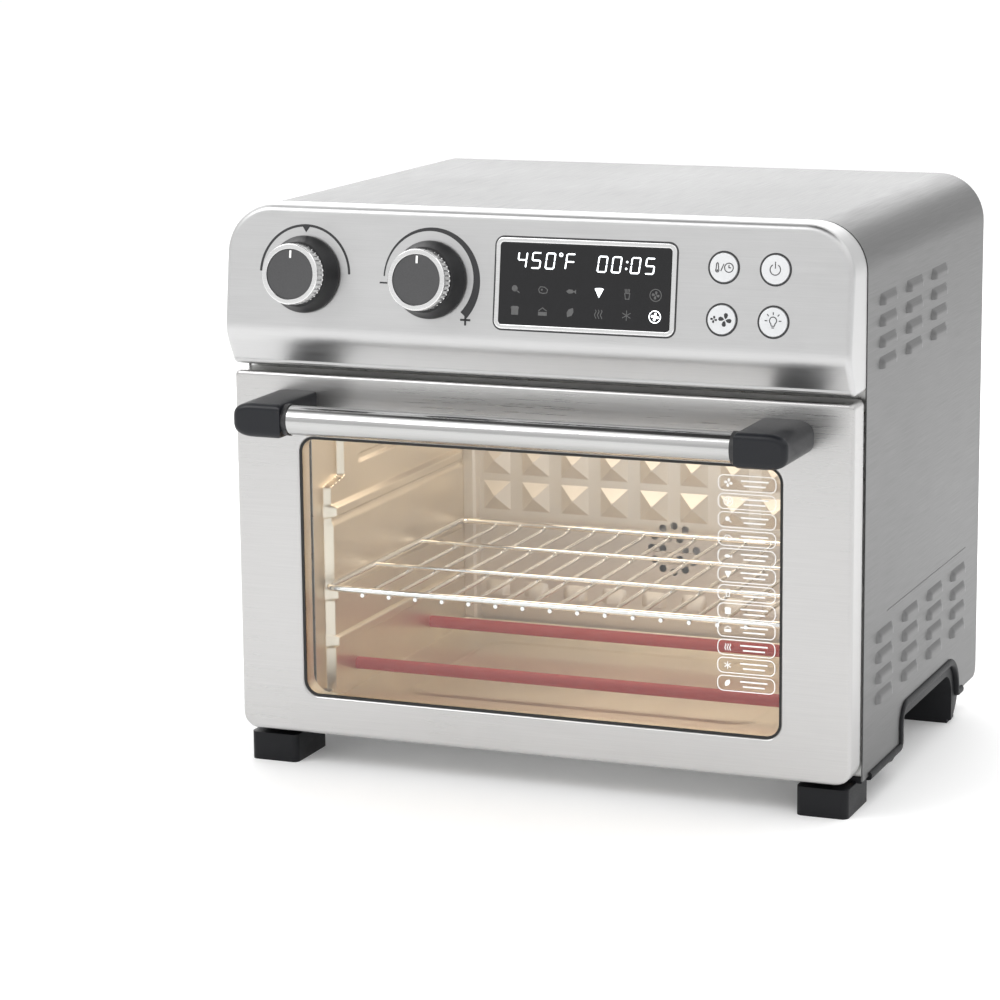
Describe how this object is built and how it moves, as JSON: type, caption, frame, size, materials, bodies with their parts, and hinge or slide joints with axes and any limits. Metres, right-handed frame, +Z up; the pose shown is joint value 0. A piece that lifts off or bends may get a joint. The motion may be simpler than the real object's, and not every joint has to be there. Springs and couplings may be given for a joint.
{
  "type": "toaster oven",
  "caption": "Counter-top convection toaster oven with a drop-down glass door, bar handle, turning knobs, display and push buttons.",
  "frame": {"origin": "middle of the footprint, on the table", "axes": "+Z up, +X to the user's right, the door faces -Y"},
  "size_m": [0.4, 0.3734, 0.354],
  "materials": {
    "brushed_steel": "fine brushed stainless steel, satin",
    "panel_steel": "brushed stainless steel with a soft grain across",
    "polished_steel": "polished stainless steel",
    "liner_steel": "bright aluminised steel, lightly stained by heat",
    "plated_steel": "zinc plated",
    "wire_steel": "chrome plated wire",
    "black_moulding": "fine textured black heat-resistant plastic",
    "handle_black": "satin black phenolic plastic",
    "knob_grey": "satin dark grey plastic",
    "button_white": "satin silver-white plastic",
    "display_glass": "glossy black",
    "board_green": "green solder mask",
    "part_black": "black moulded plastic",
    "heater_steel": "oxidised steel, dull red hot",
    "ceramic": "white steatite ceramic",
    "clear_glass": "clear tempered glass",
    "lamp_glass": "frosted lamp glass",
    "gasket_rubber": "black silicone",
    "laminated_iron": "varnished steel laminations",
    "spring_steel": "oiled spring steel"
  },
  "bodies": {
    "oven": {"outer_wrap": "brushed_steel", "back_panel": "plated_steel", "base_plate": "plated_steel", "base_runner_left": "black_moulding", "base_runner_right": "black_moulding", "front_frame": "plated_steel", "case_screws": "plated_steel", "cord_gland": "part_black", "control_panel": "panel_steel", "display_bezel": "polished_steel", "display_lens": "display_glass", "display_module": "part_black", "control_board": "board_green", "encoders": "plated_steel", "button_switches": "part_black", "power_board": "board_green", "cavity_left_wall": "liner_steel", "cavity_right_wall": "liner_steel", "cavity_top": "liner_steel", "cavity_floor": "liner_steel", "cavity_back": "liner_steel", "lower_heaters": "heater_steel", "upper_heaters": "heater_steel", "heater_insulators": "ceramic", "lamp_housing": "plated_steel", "lamp_bulb": "lamp_glass", "lamp_lens": "lamp_glass", "temperature_probe": "plated_steel", "crumb_tray": "liner_steel", "fan_housing": "plated_steel", "motor_stator": "laminated_iron", "hinge_arms": "plated_steel", "hinge_pins": "polished_steel", "door_springs": "spring_steel"},
    "door": {"door_skin": "brushed_steel", "door_inner_frame": "plated_steel", "door_glass": "clear_glass", "door_gasket": "gasket_rubber", "glass_clips": "plated_steel", "door_screws": "plated_steel", "handle_bar": "polished_steel", "handle_collars": "part_black", "handle_bracket_left": "handle_black", "handle_bracket_right": "handle_black", "handle_screws": "plated_steel", "door_hinge_plates": "plated_steel"},
    "function_knob": {"function_knob": "knob_grey", "function_knob_ring": "polished_steel", "function_knob_shaft": "plated_steel"},
    "temperature_knob": {"temperature_knob": "knob_grey", "temperature_knob_ring": "polished_steel", "temperature_knob_shaft": "plated_steel"},
    "time_button": {"time_button": "button_white"},
    "power_button": {"power_button": "button_white"},
    "fan_button": {"fan_button": "button_white"},
    "light_button": {"light_button": "button_white"},
    "fan": {"convection_fan": "plated_steel", "cooling_fan": "plated_steel", "motor_shaft": "polished_steel"},
    "rack": {"wire_rack": "wire_steel"}
  },
  "joints": [
    {"name": "door_hinge", "type": "hinge", "parent": "oven", "child": "door", "pos_m": [0, -0.12825, 0.026], "axis": [1, 0, 0], "range_deg": [0, 78], "stiffness_Nm_per_rad": 0.5, "springref_deg": -51.57},
    {"name": "function_knob_turn", "type": "hinge", "parent": "oven", "child": "function_knob", "pos_m": [-0.146, -0.14029, 0.31418], "axis": [0, -0.9917, 0.1288], "continuous": true},
    {"name": "temperature_knob_turn", "type": "hinge", "parent": "oven", "child": "temperature_knob", "pos_m": [-0.063, -0.14029, 0.31418], "axis": [0, -0.9917, 0.1288], "continuous": true},
    {"name": "time_button_press", "type": "slide", "parent": "oven", "child": "time_button", "axis": [0, 0.9917, -0.1288], "range_m": [0, 0.0008], "stiffness_N_per_m": 1200, "springref_m": -0.0005},
    {"name": "power_button_press", "type": "slide", "parent": "oven", "child": "power_button", "axis": [0, 0.9917, -0.1288], "range_m": [0, 0.0008], "stiffness_N_per_m": 1200, "springref_m": -0.0005},
    {"name": "fan_button_press", "type": "slide", "parent": "oven", "child": "fan_button", "axis": [0, 0.9917, -0.1288], "range_m": [0, 0.0008], "stiffness_N_per_m": 1200, "springref_m": -0.0005},
    {"name": "light_button_press", "type": "slide", "parent": "oven", "child": "light_button", "axis": [0, 0.9917, -0.1288], "range_m": [0, 0.0008], "stiffness_N_per_m": 1200, "springref_m": -0.0005},
    {"name": "fan_spin", "type": "hinge", "parent": "oven", "child": "fan", "pos_m": [0, 0.13875, 0.134], "axis": [0, 1, 0], "continuous": true},
    {"name": "rack_slide", "type": "slide", "parent": "oven", "child": "rack", "axis": [0, -1, 0], "range_m": [0, 0.105]}
  ],
  "couplings": [
    {"joint": "rack_slide", "follows": "door_hinge", "m_per_rad": 0.075}
  ]
}
